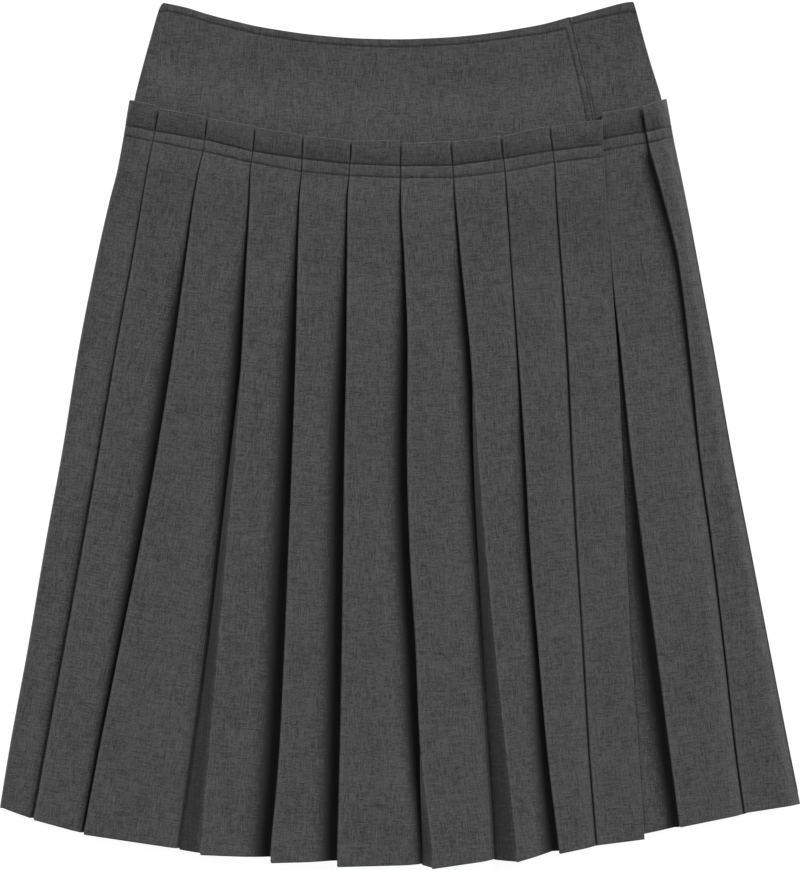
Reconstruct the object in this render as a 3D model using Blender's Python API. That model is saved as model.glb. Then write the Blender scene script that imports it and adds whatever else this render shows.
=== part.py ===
"""A knee-length wrap skirt of grey wool, laid flat with its front up.

A smooth shaped yoke carries a knife-pleated skirt whose pleat heads stand free above the seam as a
frill. The front wraps over an underlap at the viewer's right. Every piece is one wall of cloth, 1 mm
thick, drawn as rows of cross sections from the waist down to the hem.

Lengths are in millimetres. x runs to the viewer's right from the middle of the skirt, drop runs down
from the corners of the waist, and z runs up from the surface that the skirt lies on.
"""

import math
from collections import namedtuple

import bmesh
import bpy
import numpy as np

MM = 0.001

CLOTH = 1.0
GAP = 0.3
PLY = CLOTH + GAP
BEND = PLY / 2
YOKE_EASE = 0.4

DEEPEST_HEM = 659.0
MIDDLE_DROP = DEEPEST_HEM / 2

WAIST_WIDTH = 360.0
WAIST_DIP = 28.5
WAIST_MIDDLE = -1.8
BACK_WAIST_LOWER = 1.5
UNDERLAP_WAIST_LOWER = 0.5
BACK_EDGE_IN = 0.4

SIDE_ROLL = 9.0
YOKE_UNDER_SEAM = 6.0
YOKE_EDGE_CLEAR = 3.0
SEAM_FADE = 40.0
FRILL_FLARE = 0.8

UNDERLAP_REACH = 45.0
WRAP_FADE = 12.0
WRAP_CLEAR = 2.0
PANEL_FADE_AHEAD = 8.0

BACK_FOLDS = 12
BACK_FIRST_FOLD = 0.046
BACK_LAST_FOLD = 0.95
BACK_SLOT = 1.5
BACK_TUCK = (22, 22, 22, 24, 24)
BACK_LAST_TUCK = (6, 8, 8, 10, 10)

WOOL = (0.075, 0.075, 0.076, 1.0)
WOOL_INSIDE = (0.062, 0.062, 0.064, 1.0)
WOOL_ROUGHNESS = 0.92

# Where each line of the skirt runs across it: x at these drops.
STATIONS = (85, 112, 130, 150, 195, 265, 340, 415, 490, 570, 645)

# x is given at STATIONS. frill, stitch_1, stitch_2 are the drops of the frill's edge and of the two
# rows of stitching there. hem_before is the hem's drop where the face to the left ends, hem_after
# where the line's own face starts.
Line = namedtuple("Line", "x frill stitch_1 stitch_2 hem_before hem_after")
SIDE_LEFT = Line(
    (-208, -212.5, -216, -221, -231, -245, -257.5, -270.5, -283, -297, -306),
    73.0, 94.5, 102.0, 613.5, 613.5,
)
SIDE_RIGHT = Line(
    (204.5, 209, 212.5, 216.5, 225, 238, 251.5, 266, 280, 295, 308.5),
    73.5, 94.5, 102.5, 610.5, 610.5,
)
WRAP_EDGE = Line(
    (153.5, 154.5, 155.5, 156.5, 160, 165, 169, 172, 175.5, 181.5, 186.5),
    90.0, 109.0, 118.0, 637.0, 637.0,
)
FRONT_FOLDS = (
    Line(
        (-183, -188.5, -192, -195.5, -203, -215.5, -228, -241, -254.5, -269, -282.5),
        81.5, 98.5, 106.5, 621.0, 622.5,
    ),
    Line(
        (-145, -149, -153, -156.5, -162.5, -172, -184, -197.5, -212.5, -228.5, -242.5),
        89.0, 105.0, 114.0, 632.0, 633.5,
    ),
    Line(
        (-108, -111, -113.5, -114, -116.5, -120, -125.5, -132, -138.5, -145.5, -152),
        96.0, 114.0, 122.5, 644.0, 648.5,
    ),
    Line(
        (-71.5, -73.5, -74.5, -76, -77.5, -79, -81.5, -84.5, -87.5, -91.5, -98),
        102.0, 119.5, 129.5, 650.5, 654.5,
    ),
    Line(
        (-35, -36.5, -38, -39.5, -40, -40.5, -42, -43, -44, -45.5, -47.5),
        106.0, 123.5, 132.5, 653.5, 657.5,
    ),
    Line(
        (1.5, 1.5, 1, 1, 3.5, 6, 5.5, 7.5, 12, 15.5, 24),
        108.0, 125.0, 134.0, 656.0, 659.0,
    ),
    Line(
        (39, 40, 41, 42.5, 46.5, 53.5, 58.5, 64.5, 71.5, 80, 88),
        106.5, 124.5, 134.0, 652.5, 654.0,
    ),
    Line(
        (77, 78.5, 80.5, 82, 85, 90, 95, 99, 105, 112, 121),
        102.5, 119.5, 129.5, 646.0, 647.5,
    ),
    Line(
        (113.5, 116.5, 118.5, 119.5, 123, 128, 131.5, 135.5, 140, 144.5, 150.5),
        95.0, 113.5, 122.5, 642.0, 641.5,
    ),
)
UNDERLAP_START = Line(WRAP_EDGE.x, 96.0, 114.0, 123.5, 642.0, 642.0)
UNDERLAP_FOLDS = (
    Line(
        (150, 152, 154, 156.5, 161, 168, 175.5, 184.5, 194.5, 205, 215),
        86.0, 104.5, 113.5, 628.0, 627.5,
    ),
    Line(
        (185, 190, 195, 200.5, 211.5, 220.5, 228, 238, 247, 256, 266.5),
        80.5, 99.0, 107.5, 618.0, 617.0,
    ),
)

# The frame's origin is midway between the hem's two corners.
MIDDLE_X = -0.05

# How each fold stands. slot is the width of the dark gap at its left, lift is how far its ridge
# stands above three flat plies, and tuck is how far the cloth runs in under it. A tuck below zero
# lies to the left of the ridge, where the pleat stands open and the side of the fold shows.
FORM_STATIONS = (130, 265, 340, 490, 645)
Form = namedtuple("Form", "slot lift tuck")
FRONT_FORMS = (
    Form((1.5, 4, 5.5, 6.5, 6), (0, 1.5, 2.5, 3, 3), (20, 22, 22, 22, 22)),
    Form((1.5, 6, 6.5, 5, 3.5), (0, 6, 6, 6, 4), (27, 27, 28, 28, 28)),
    Form((1.5, 6.5, 8, 7, 4), (0, 7, 9, 9.5, 10), (27, 9, -3, -7, -17)),
    Form((1.5, 7, 8.5, 10.5, 10.5), (0, 8, 10, 11, 11), (27, 25, 22, 20, 19)),
    Form((1.5, 6.5, 8.5, 9.5, 10), (0, 8, 10, 11, 11), (27, 26, 24, 22, 21)),
    Form((1.5, 6.5, 8, 9.5, 6.5), (0, 8, 10, 11, 11), (27, 24, 20, 10, -9)),
    Form((1.5, 6, 7, 8, 6), (0, 7, 8.5, 9.5, 10), (27, 10, -3, -8.5, -16)),
    Form((1.5, 2.5, 5, 5.5, 9), (0, 3, 5, 6.5, 9), (27, 26, 24, 22, 18)),
    Form((1.5, 1.5, 2.5, 2.5, 3), (0, 1, 2, 2, 2), (26, 24, 22, 22, 22)),
)
UNDERLAP_FORMS = (
    Form((1.5, 3, 4, 8, 4), (0, 1.5, 5, 8, 5), (26, 26, 24, 24, 24)),
    Form((2.5, 2.5, 2, 2.5, 2.5), (0, 1.5, 1.5, 2, 2), (6, 8, 10, 15, 18)),
)
SIDE_LIFT = (0.5, 1.5, 2, 2, 2)
WRAP_LIFT = (2.0, 3.0, 1.4, 0.6, 0.6)
WRAP_CROSSING_DROP = 190.0
WRAP_CROSSING_LIFT = 3.8
WRAP_CROSSING_LENGTH = 60.0

# The yoke's sides and its slanted wrap edge: x at these drops.
YOKE_STATIONS = (0, 5, 20, 45, 75, 130, 160)
YOKE_LEFT = (-181, -183.5, -188, -195, -202.5, -213, -219)
YOKE_RIGHT = (177.5, 179, 182.5, 189.5, 198.5, 210, 215)
YOKE_WRAP = (126, 127.5, 131.5, 137, 143, 151, 152)

# The bend from a face down into the gap beside the next ridge.
FACE_SHARES = (0.3, 0.64)
LAST_FACE_SHARES = (0.88, 1.0)
BEND_STEPS = 4
BACK_BEND_STEPS = 3
FACE_END_HEIGHT = 0.45
FACE_ROUNDNESS = 1.6
SLOT_SHOULDER = 0.55
SLOT_FLOOR = 0.15

SHOULDER_HEIGHT = 0.55
FOOT_ROOM = 0.2

# How the cloth rises from its side edge: distance in from the edge and share of the face's height.
EDGE_ROUND = ((0.0, 0.0), (1.2, 0.5), (4.0, 0.86))

# Where the frill's edge and the rows of stitching lie: drop at the sides and in the middle.
SEAM_HALF_WIDTH = 211.0
FRILL_DROPS = (73.0, 107.5)
STITCH_1_DROPS = (94.5, 125.5)
STITCH_2_DROPS = (102.0, 134.5)
BACK_SEAM_LOWER = 1.0
BACK_HEM_DROPS = (608.0, 654.0)
HEM_HALF_WIDTH = 303.0

# The yoke rises over this stretch above the frill to lie on the pleats of the back.
RISE_ABOVE_FRILL = 32.0
RISE_LENGTH = 26.0

RIGHT_ANGLE = math.pi / 2


def blend(low, high, share):
    return low + (high - low) * share


def smooth(value):
    """0 below 0, 1 above 1, and a soft step between."""
    held = min(max(value, 0.0), 1.0)
    return held * held * (3 - 2 * held)


def across(line, drop):
    """x of a line of the skirt at a drop."""
    return float(np.interp(drop, STATIONS, line.x))


def formed(values, drop):
    return float(np.interp(drop, FORM_STATIONS, values))


def yoke_side(values, drop):
    return float(np.interp(drop, YOKE_STATIONS, values))


def arch(x, ends, middle, half_width, centre=0.0):
    """A drop that is ends at the sides and middle in the middle, along a parabola."""
    return middle + (ends - middle) * ((x - centre) / half_width) ** 2


def waist(x):
    return arch(x, 0.0, WAIST_DIP, WAIST_WIDTH / 2, WAIST_MIDDLE)


def seam_drops(x):
    """The drops of the frill's edge and of the two rows of stitching, as smooth curves."""
    levels = (FRILL_DROPS, STITCH_1_DROPS, STITCH_2_DROPS)
    return [arch(x, ends, middle, SEAM_HALF_WIDTH) for ends, middle in levels]


def side_room(x, drop):
    """How far a point lies in from the nearer side of the skirt."""
    return min(x - across(SIDE_LEFT, drop), across(SIDE_RIGHT, drop) - x)


def rolled(room, at_side, inside):
    """A level that comes down softly to the side."""
    return blend(at_side, inside, smooth(room / SIDE_ROLL))


def past_frill(x, drop):
    """0 in the upper yoke, 1 where the yoke lies on the pleats of the back."""
    frill = seam_drops(x)[0]
    return smooth((drop - (frill - RISE_ABOVE_FRILL)) / RISE_LENGTH)


def sewn(x, drop):
    """1 where the pleats are sewn over the yoke, 0 below the yoke's lower edge."""
    end = seam_drops(x)[2] + YOKE_UNDER_SEAM + YOKE_EDGE_CLEAR
    return 1 - smooth((drop - end) / SEAM_FADE)


def over_underlap(x, underlap_edge):
    """1 where the front lies over the underlap, 0 to the left of it."""
    return smooth((x - underlap_edge + WRAP_FADE + WRAP_CLEAR) / WRAP_FADE)


def back_yoke_level(x, drop):
    room = min(x - yoke_side(YOKE_LEFT, drop), yoke_side(YOKE_RIGHT, drop) - x)
    raised = past_frill(x, drop)
    return CLOTH / 2 + rolled(room, PLY * raised, 3 * PLY * raised)


def underlap_yoke_level(x, drop):
    return back_yoke_level(x, drop) + PLY + YOKE_EASE


def front_yoke_level(x, drop):
    wrapped = over_underlap(x, yoke_side(YOKE_WRAP, drop) - UNDERLAP_REACH)
    lift = wrapped * (PLY + (PLY + YOKE_EASE) * past_frill(x, drop))
    return underlap_yoke_level(x, drop) + lift


def underlap_level(x, drop):
    """The floor of the underlap's pleats: on the back, and on the yoke where that is sewn in."""
    on_back = CLOTH / 2 + rolled(side_room(x, drop), PLY, 3 * PLY)
    return on_back + 2 * (PLY + YOKE_EASE) * sewn(x, drop)


def front_level(x, drop):
    """The floor of the front's pleats."""
    wrapped = over_underlap(x, across(WRAP_EDGE, drop) - UNDERLAP_REACH - PANEL_FADE_AHEAD)
    return underlap_level(x, drop) + wrapped * (PLY + (PLY + YOKE_EASE) * sewn(x, drop))


def turn(centre_x, centre_z, start, end, steps):
    """Points round a bend of the cloth's middle."""
    angles = np.linspace(start, end, steps)
    return [(centre_x + BEND * math.cos(a), centre_z + BEND * math.sin(a)) for a in angles]


def fold_points(slot_left, slot_height, ridge_x, ridge_height, inner_x, bend_steps):
    """Middle of the cloth from the end of one face, down the gap, round the inner fold, back up and
    round the ridge, as pairs of x and height above the pleats' floor."""
    slot_right = min(ridge_x, inner_x)
    width = slot_right - slot_left
    shoulder = (slot_right - SLOT_SHOULDER * width, slot_height * SHOULDER_HEIGHT)
    foot_x = min(slot_right - SLOT_FLOOR * width, inner_x - BEND - FOOT_ROOM)
    inner = (inner_x - BEND, BEND)
    outer = (ridge_x + BEND, ridge_height - BEND)
    run = math.hypot(outer[0] - inner[0], outer[1] - inner[1])
    heading = math.atan2(outer[1] - inner[1], outer[0] - inner[0])
    side = heading + math.asin(min(2 * BEND / run, 1.0))
    points = [(slot_left, slot_height), shoulder, (foot_x, 0.0)]
    points += turn(*inner, -RIGHT_ANGLE, side - RIGHT_ANGLE, bend_steps)
    points += turn(*outer, side + RIGHT_ANGLE, RIGHT_ANGLE, bend_steps)
    return points


def face_points(start_x, start_height, end_x, end_height, fold_end, shares):
    """Middle of a face between its ridge and its far end. It stays above the fold tucked under it."""
    points = []
    for share in shares:
        x = blend(start_x, end_x, share)
        height = blend(end_height, start_height, 1 - share**FACE_ROUNDNESS)
        if x < fold_end + BEND:
            height = max(height, 2 * PLY)
        points.append((x, height))
    return points


def row_drops(line, row, hem):
    """Drop of a line in a row: the frill, the two rows of stitching, then on down to the hem."""
    kind, amount = row
    if kind == "frill":
        return blend(line.frill, line.stitch_1, amount)
    if kind == "below":
        return line.stitch_2 + amount
    return blend(line.stitch_2 + SEAM_FADE + 8, hem, amount)


FRONT_ROWS = (
    ("frill", 0.0),
    ("frill", 0.5),
    ("frill", 1.0),
    ("below", 0.0),
    ("below", 16.0),
    ("skirt", 0.0),
    ("skirt", 0.17),
    ("skirt", 0.36),
    ("skirt", 0.57),
    ("skirt", 0.78),
    ("skirt", 1.0),
)
BACK_ROWS = (
    ("frill", 0.0),
    ("frill", 1.0),
    ("below", 0.0),
    ("skirt", 0.0),
    ("skirt", 0.5),
    ("skirt", 1.0),
)


Heights = namedtuple("Heights", "edge inside last offset flare")


def pleat_row(start, folds, forms, end, row, heights, bend_steps):
    """One cross section of a pleated panel, as rows of x, drop and height above its floor.

    heights has the panel's height at its start edge, just inside it, and at its end edge, how far
    the start edge lies from its line, and how far the frill's edge stands out.
    """
    flare = heights.flare * (1 - row[1]) if row[0] == "frill" else 0.0
    points = []

    def add(pairs, first_drop, last_drop):
        for place, (x, height) in enumerate(pairs):
            share = place / max(len(pairs) - 1, 1)
            points.append((x, blend(first_drop, last_drop, share), height))

    drop = row_drops(start, row, start.hem_after)
    face_x, face_height, fold_end = across(start, drop), heights.inside(drop), -math.inf
    edge_x = face_x + heights.offset
    edge = [
        (edge_x + inward, blend(heights.edge(drop), face_height, rise))
        for inward, rise in EDGE_ROUND
    ]
    add(edge, drop, drop)
    face_x = edge_x
    for line, form in zip(folds, forms):
        before = row_drops(line, row, line.hem_before)
        after = row_drops(line, row, line.hem_after)
        ridge_x = across(line, after)
        ridge_height = 2 * PLY + formed(form.lift, after) + flare
        inner_x = ridge_x + formed(form.tuck, after)
        slot_left = min(ridge_x, inner_x) - formed(form.slot, after)
        end_height = FACE_END_HEIGHT * face_height
        face = face_points(face_x, face_height, slot_left, end_height, fold_end, FACE_SHARES)
        add(face, blend(drop, before, FACE_SHARES[0]), blend(drop, before, FACE_SHARES[-1]))
        fold = fold_points(slot_left, end_height, ridge_x, ridge_height, inner_x, bend_steps)
        add(fold, before, after)
        drop, face_x, face_height, fold_end = after, ridge_x, ridge_height, inner_x
    last = row_drops(end, row, end.hem_before)
    end_x = across(end, last)
    last_height = heights.last(last)
    shares = (*FACE_SHARES, *LAST_FACE_SHARES)
    face = face_points(face_x, face_height, end_x, last_height, fold_end, shares)
    add(face, blend(drop, last, shares[0]), last)
    return np.array(points)


def walled(points):
    """The two skins of the cloth, half its thickness either side of the points of a section."""
    ahead = np.diff(points[:, [0, 2]], axis=0)
    ahead /= np.linalg.norm(ahead, axis=1)[:, None]
    along = np.vstack([ahead[:1], ahead[:-1] + ahead[1:], ahead[-1:]])
    along /= np.linalg.norm(along, axis=1)[:, None]
    offset = np.zeros_like(points)
    offset[:, 0] = -along[:, 1] * CLOTH / 2
    offset[:, 2] = along[:, 0] * CLOTH / 2
    return points + offset, points - offset


def wool(name, colour):
    material = bpy.data.materials.new(name)
    material.use_nodes = True
    shader = material.node_tree.nodes["Principled BSDF"]
    shader.inputs["Base Color"].default_value = colour
    shader.inputs["Roughness"].default_value = WOOL_ROUGHNESS
    shader.inputs["Metallic"].default_value = 0.0
    return material


def cloth_solid(name, sections, material):
    """A closed wall through its sections, each a pair of skins in x, drop and z."""
    mesh = bpy.data.meshes.new(name)
    work = bmesh.new()
    rings = []
    for outer, inner in sections:
        ring = np.vstack([outer, inner[::-1]])
        places = np.column_stack([ring[:, 0] - MIDDLE_X, MIDDLE_DROP - ring[:, 1], ring[:, 2]]) * MM
        rings.append([work.verts.new(place) for place in places])
    # Both skins are split along the same diagonals, so that a twisted stretch keeps its thickness.
    count = len(rings[0])
    half = count // 2
    for upper, lower in zip(rings, rings[1:]):
        for i in range(count):
            j = (i + 1) % count
            if i < half:
                work.faces.new((upper[i], upper[j], lower[j]))
                work.faces.new((upper[i], lower[j], lower[i]))
            else:
                work.faces.new((upper[i], upper[j], lower[i]))
                work.faces.new((upper[j], lower[j], lower[i]))
    for ring in (rings[0], rings[-1]):
        for i in range(half - 1):
            work.faces.new((ring[i], ring[i + 1], ring[count - 2 - i], ring[count - 1 - i]))
    bmesh.ops.recalc_face_normals(work, faces=work.faces)
    work.to_mesh(mesh)
    work.free()
    mesh.shade_smooth()
    mesh.set_sharp_from_angle(angle=math.radians(40))
    mesh.materials.append(material)
    piece = bpy.data.objects.new(name, mesh)
    bpy.context.scene.collection.objects.link(piece)
    return piece


def yoke_sections(left, right, top, bottom, level, columns, rows):
    """Rows of a yoke panel. left and right give x at a drop, top and bottom give a drop at x. A column
    is a share of the width and a distance to add to it."""

    def end_of(edge, share, extra):
        """Drop at which a column meets an upper or lower edge."""
        drop = edge(0.0)
        for _ in range(5):
            drop = edge(blend(left(drop), right(drop), share) + extra)
        return drop

    sections = []
    for row in rows:
        points = []
        for share, extra in columns:
            drop = blend(end_of(top, share, extra), end_of(bottom, share, extra), row)
            x = blend(left(drop), right(drop), share) + extra
            points.append((x, drop, level(x, drop)))
        sections.append(walled(np.array(points)))
    return sections


def raised(points, level):
    """A section's points with the level of what the panel lies on added to their heights."""
    lifted = points.copy()
    lifted[:, 2] += [level(x, drop) for x, drop, _ in points]
    return lifted


def clear_scene():
    for old in list(bpy.data.objects):
        bpy.data.objects.remove(old)


def make_yokes(outside, inside):
    rows = (0.0, 0.12, 0.4, 0.55, 0.65, 0.76, 1.0)
    roll = (0.0, 0.13, 0.44, 1.0)
    left_roll = [(0.0, SIDE_ROLL * step) for step in roll]
    right_roll = [(1.0, -SIDE_ROLL * step) for step in reversed(roll)]
    fade = [(1.0, -UNDERLAP_REACH - WRAP_CLEAR - WRAP_FADE * step) for step in (1.0, 0.67, 0.33, 0.0)]
    front_columns = left_roll + [(0.17, 0), (0.33, 0), (0.5, 0), (0.66, 0)] + fade + [(1.0, -20), (1.0, 0)]
    underlap_columns = [(0, 0), (0, 20), (0, 45), (0, 65)] + right_roll
    back_columns = left_roll + [(0.2, 0), (0.4, 0), (0.6, 0), (0.8, 0)] + right_roll
    back_columns[0] = (0.0, BACK_EDGE_IN)
    back_columns[-1] = (1.0, -BACK_EDGE_IN)

    def lower_edge(x):
        return seam_drops(x)[2] + YOKE_UNDER_SEAM

    def left(drop):
        return yoke_side(YOKE_LEFT, drop)

    def right(drop):
        return yoke_side(YOKE_RIGHT, drop)

    def wrap(drop):
        return yoke_side(YOKE_WRAP, drop)

    def underlap_edge(drop):
        return wrap(drop) - UNDERLAP_REACH

    def underlap_waist(x):
        return waist(x) + UNDERLAP_WAIST_LOWER

    def back_waist(x):
        return waist(x) + BACK_WAIST_LOWER

    front = yoke_sections(left, wrap, waist, lower_edge, front_yoke_level, front_columns, rows)
    cloth_solid("front_yoke", front, outside)
    under = yoke_sections(
        underlap_edge, right, underlap_waist, lower_edge, underlap_yoke_level, underlap_columns, rows
    )
    cloth_solid("underlap_yoke", under, outside)
    back = yoke_sections(left, right, back_waist, lower_edge, back_yoke_level, back_columns, rows)
    cloth_solid("back_yoke", back, inside)


def make_front_pleats(material):
    def side_height(drop):
        return PLY + formed(SIDE_LIFT, drop)

    def wrap_height(drop):
        crossing = max(0.0, 1 - abs(drop - WRAP_CROSSING_DROP) / WRAP_CROSSING_LENGTH)
        return max(formed(WRAP_LIFT, drop), WRAP_CROSSING_LIFT * crossing)

    heights = Heights(lambda drop: 0.0, side_height, wrap_height, 0.0, FRILL_FLARE)
    sections = [
        walled(
            raised(
                pleat_row(
                    SIDE_LEFT, FRONT_FOLDS, FRONT_FORMS, WRAP_EDGE, row, heights, BEND_STEPS
                ),
                front_level,
            )
        )
        for row in FRONT_ROWS
    ]
    cloth_solid("front_pleats", sections, material)


def make_underlap_pleats(material):
    heights = Heights(
        lambda drop: 0.0, lambda drop: 0.0, lambda drop: 0.0, -UNDERLAP_REACH, FRILL_FLARE
    )
    sections = [
        walled(
            raised(
                pleat_row(
                    UNDERLAP_START, UNDERLAP_FOLDS, UNDERLAP_FORMS, SIDE_RIGHT, row, heights,
                    BEND_STEPS,
                ),
                underlap_level,
            )
        )
        for row in FRONT_ROWS
    ]
    cloth_solid("underlap_pleats", sections, material)


def back_line(share):
    """A line of the back as seen from behind, at a share of its width."""
    x = [blend(-right, -left, share) for left, right in zip(SIDE_LEFT.x, SIDE_RIGHT.x)]
    seam_x = blend(-SEAM_HALF_WIDTH, SEAM_HALF_WIDTH, share)
    frill, stitch_1, stitch_2 = (drop + BACK_SEAM_LOWER for drop in seam_drops(seam_x))
    hem = arch(blend(-HEM_HALF_WIDTH, HEM_HALF_WIDTH, share), *BACK_HEM_DROPS, HEM_HALF_WIDTH)
    return Line(x, frill, stitch_1, stitch_2, hem, hem)


def make_back_pleats(material):
    shares = np.linspace(BACK_FIRST_FOLD, BACK_LAST_FOLD, BACK_FOLDS)
    folds = [back_line(share) for share in shares]
    tucks = [BACK_TUCK] * (BACK_FOLDS - 1) + [BACK_LAST_TUCK]
    forms = [Form((BACK_SLOT,) * len(tuck), (0,) * len(tuck), tuck) for tuck in tucks]
    flat = Heights(
        lambda drop: 2 * PLY, lambda drop: 2 * PLY, lambda drop: 2 * PLY, 0.0, 0.0
    )
    sections = []
    for row in BACK_ROWS:
        held = pleat_row(
            back_line(0.0), folds, forms, back_line(1.0), row, flat, BACK_BEND_STEPS
        )
        outer, inner = walled(held)
        turned = []
        for skin in (outer, inner):
            skin = skin * (-1, 1, -1)
            skin[:, 2] += CLOTH / 2 + 2 * PLY
            turned.append(skin)
        sections.append(tuple(turned))
    cloth_solid("back_pleats", sections, material)


clear_scene()
wool_outside = wool("Grey wool", WOOL)
wool_inside = wool("Grey wool, inside", WOOL_INSIDE)
make_yokes(wool_outside, wool_inside)
make_front_pleats(wool_outside)
make_underlap_pleats(wool_outside)
make_back_pleats(wool_inside)
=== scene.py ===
"""The looks of a knee-length wrap skirt of grey wool that lies flat with its front up.

Lengths are in millimetres until a mesh is made. x runs to the viewer's right from the middle of the
skirt, drop runs down from the corners of the waist, and z runs up from the table.
"""

import math
from collections import namedtuple

import bpy
import numpy as np
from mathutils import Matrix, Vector, noise


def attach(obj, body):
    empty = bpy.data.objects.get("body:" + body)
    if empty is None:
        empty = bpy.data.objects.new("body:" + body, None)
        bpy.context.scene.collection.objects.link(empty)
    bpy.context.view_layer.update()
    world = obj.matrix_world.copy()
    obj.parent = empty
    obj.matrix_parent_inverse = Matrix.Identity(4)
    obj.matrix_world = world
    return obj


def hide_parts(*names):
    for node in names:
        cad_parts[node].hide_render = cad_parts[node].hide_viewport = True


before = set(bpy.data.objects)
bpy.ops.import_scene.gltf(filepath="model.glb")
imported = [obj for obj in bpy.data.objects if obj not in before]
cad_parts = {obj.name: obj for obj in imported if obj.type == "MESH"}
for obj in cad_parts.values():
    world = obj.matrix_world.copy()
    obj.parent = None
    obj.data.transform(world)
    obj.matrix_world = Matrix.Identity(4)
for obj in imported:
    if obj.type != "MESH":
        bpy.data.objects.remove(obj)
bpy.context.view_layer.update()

# The studio. The table is a wide sheet of white board, lit a little from below so that it stays pale
# beside the dark wool. Two broad lamps stand low beyond the waist, the stronger one at the right. The
# camera hangs straight above the skirt, far off, as in the photo.
MM = 0.001
PIXEL = 0.761
IMAGE_WIDTH, IMAGE_HEIGHT = 800, 870
CAMERA_LENS = 230.0
CAMERA_SENSOR = 36.0
FOCUS_HEIGHT = 6.0
TABLE_SIZE = 30.0
TABLE_COLOUR = (0.13, 0.13, 0.13, 1.0)
TABLE_GLOW = 0.95
ROOM_LIGHT = 0.095
BACKDROP = 0.86


class Wire:
    """An output of a shader node. A sum on wires adds the Math node that works it out."""

    def __init__(self, shader, socket):
        self.shader = shader
        self.socket = socket

    def math(self, operation, *values):
        return self.shader.node("ShaderNodeMath", {"operation": operation}, dict(enumerate(values)))

    def __add__(self, other):
        return self.math("ADD", self, other)

    __radd__ = __add__

    def __sub__(self, other):
        return self.math("SUBTRACT", self, other)

    def __rsub__(self, other):
        return self.math("SUBTRACT", other, self)

    def __mul__(self, other):
        return self.math("MULTIPLY", self, other)

    __rmul__ = __mul__

    def __truediv__(self, other):
        return self.math("DIVIDE", self, other)

    def __mod__(self, other):
        return self.math("FLOORED_MODULO", self, other)

    def floor(self):
        return self.math("FLOOR", self)

    def sine(self):
        return self.math("SINE", self)


class Shader:
    """A new material and its node tree."""

    def __init__(self, name):
        self.material = bpy.data.materials.new(name)
        self.material.use_nodes = True
        self.tree = self.material.node_tree
        self.surface = self.tree.nodes["Principled BSDF"].inputs

    def node(self, kind, settings=None, inputs=None, output=0):
        """Adds a node of a type, with its settings and the values or links of its sockets."""
        made = self.tree.nodes.new(kind)
        for key, value in (settings or {}).items():
            setattr(made, key, value)
        for key, value in (inputs or {}).items():
            self.feed(made.inputs[key], value)
        return Wire(self, made.outputs[output])

    def feed(self, socket, value):
        if isinstance(value, Wire):
            self.tree.links.new(value.socket, socket)
        else:
            socket.default_value = value

    def split(self, vector):
        """The x and y of a vector."""
        parts = self.tree.nodes.new("ShaderNodeSeparateXYZ")
        self.feed(parts.inputs[0], vector)
        return Wire(self, parts.outputs[0]), Wire(self, parts.outputs[1])

    def join(self, x, y, z=0.0):
        return self.node("ShaderNodeCombineXYZ", {}, {0: x, 1: y, 2: z})

    def cloud(self, place, scale, detail=1.0):
        """Soft noise from 0 to 1 at a place."""
        inputs = {"Vector": place, "Scale": scale, "Detail": detail}
        return self.node("ShaderNodeTexNoise", {}, inputs)

    def blend(self, factor, low, high):
        """A colour between two others."""
        made = self.tree.nodes.new("ShaderNodeMix")
        made.data_type = "RGBA"
        self.feed(made.inputs["Factor"], factor)
        self.feed(made.inputs[6], low)
        self.feed(made.inputs[7], high)
        return Wire(self, made.outputs[2])


def make_table():
    board = Shader("White board")
    place = board.node("ShaderNodeTexCoord", {}, {}, "Object")
    mottle = board.cloud(place, 9.0, 3.0)
    paler = tuple(1.03 * part for part in TABLE_COLOUR[:3]) + (1.0,)
    colour = board.blend(mottle, TABLE_COLOUR, paler)
    board.feed(board.surface["Base Color"], colour)
    board.feed(board.surface["Emission Color"], colour)
    board.surface["Emission Strength"].default_value = TABLE_GLOW / TABLE_COLOUR[0]
    board.surface["Roughness"].default_value = 0.9
    board.surface["Specular IOR Level"].default_value = 0.1
    mesh = bpy.data.meshes.new("table")
    reach = TABLE_SIZE / 2
    corners = [(-reach, -reach, 0), (reach, -reach, 0), (reach, reach, 0), (-reach, reach, 0)]
    mesh.from_pydata(corners, [], [(0, 1, 2, 3)])
    mesh.materials.append(board.material)
    table = bpy.data.objects.new("table", mesh)
    bpy.context.scene.collection.objects.link(table)


def light_room():
    """A pale backdrop for the camera, and a much dimmer light from all round for the skirt."""
    world = bpy.data.worlds.new("Studio")
    world.use_nodes = True
    bpy.context.scene.world = world
    nodes, links = world.node_tree.nodes, world.node_tree.links
    dim = nodes["Background"]
    dim.inputs["Color"].default_value = (1.0, 1.0, 1.0, 1.0)
    dim.inputs["Strength"].default_value = ROOM_LIGHT
    pale = nodes.new("ShaderNodeBackground")
    pale.inputs["Color"].default_value = (BACKDROP, BACKDROP, BACKDROP, 1.0)
    rays = nodes.new("ShaderNodeLightPath")
    either = nodes.new("ShaderNodeMixShader")
    links.new(rays.outputs["Is Camera Ray"], either.inputs[0])
    links.new(dim.outputs[0], either.inputs[1])
    links.new(pale.outputs[0], either.inputs[2])
    links.new(either.outputs[0], nodes["World Output"].inputs["Surface"])


def hang_lamp(name, height, turn, spread, strength):
    """A broad lamp far off. It stands height degrees up and turned from the right to the waist."""
    lamp = bpy.data.lights.new(name, "SUN")
    lamp.angle = math.radians(spread)
    lamp.energy = strength
    holder = bpy.data.objects.new(name, lamp)
    high, turned = math.radians(height), math.radians(turn)
    towards = Vector(
        (math.cos(high) * math.cos(turned), math.cos(high) * math.sin(turned), math.sin(high))
    )
    holder.rotation_euler = towards.to_track_quat("Z", "Y").to_euler()
    holder.location = towards * 3
    bpy.context.scene.collection.objects.link(holder)


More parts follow.
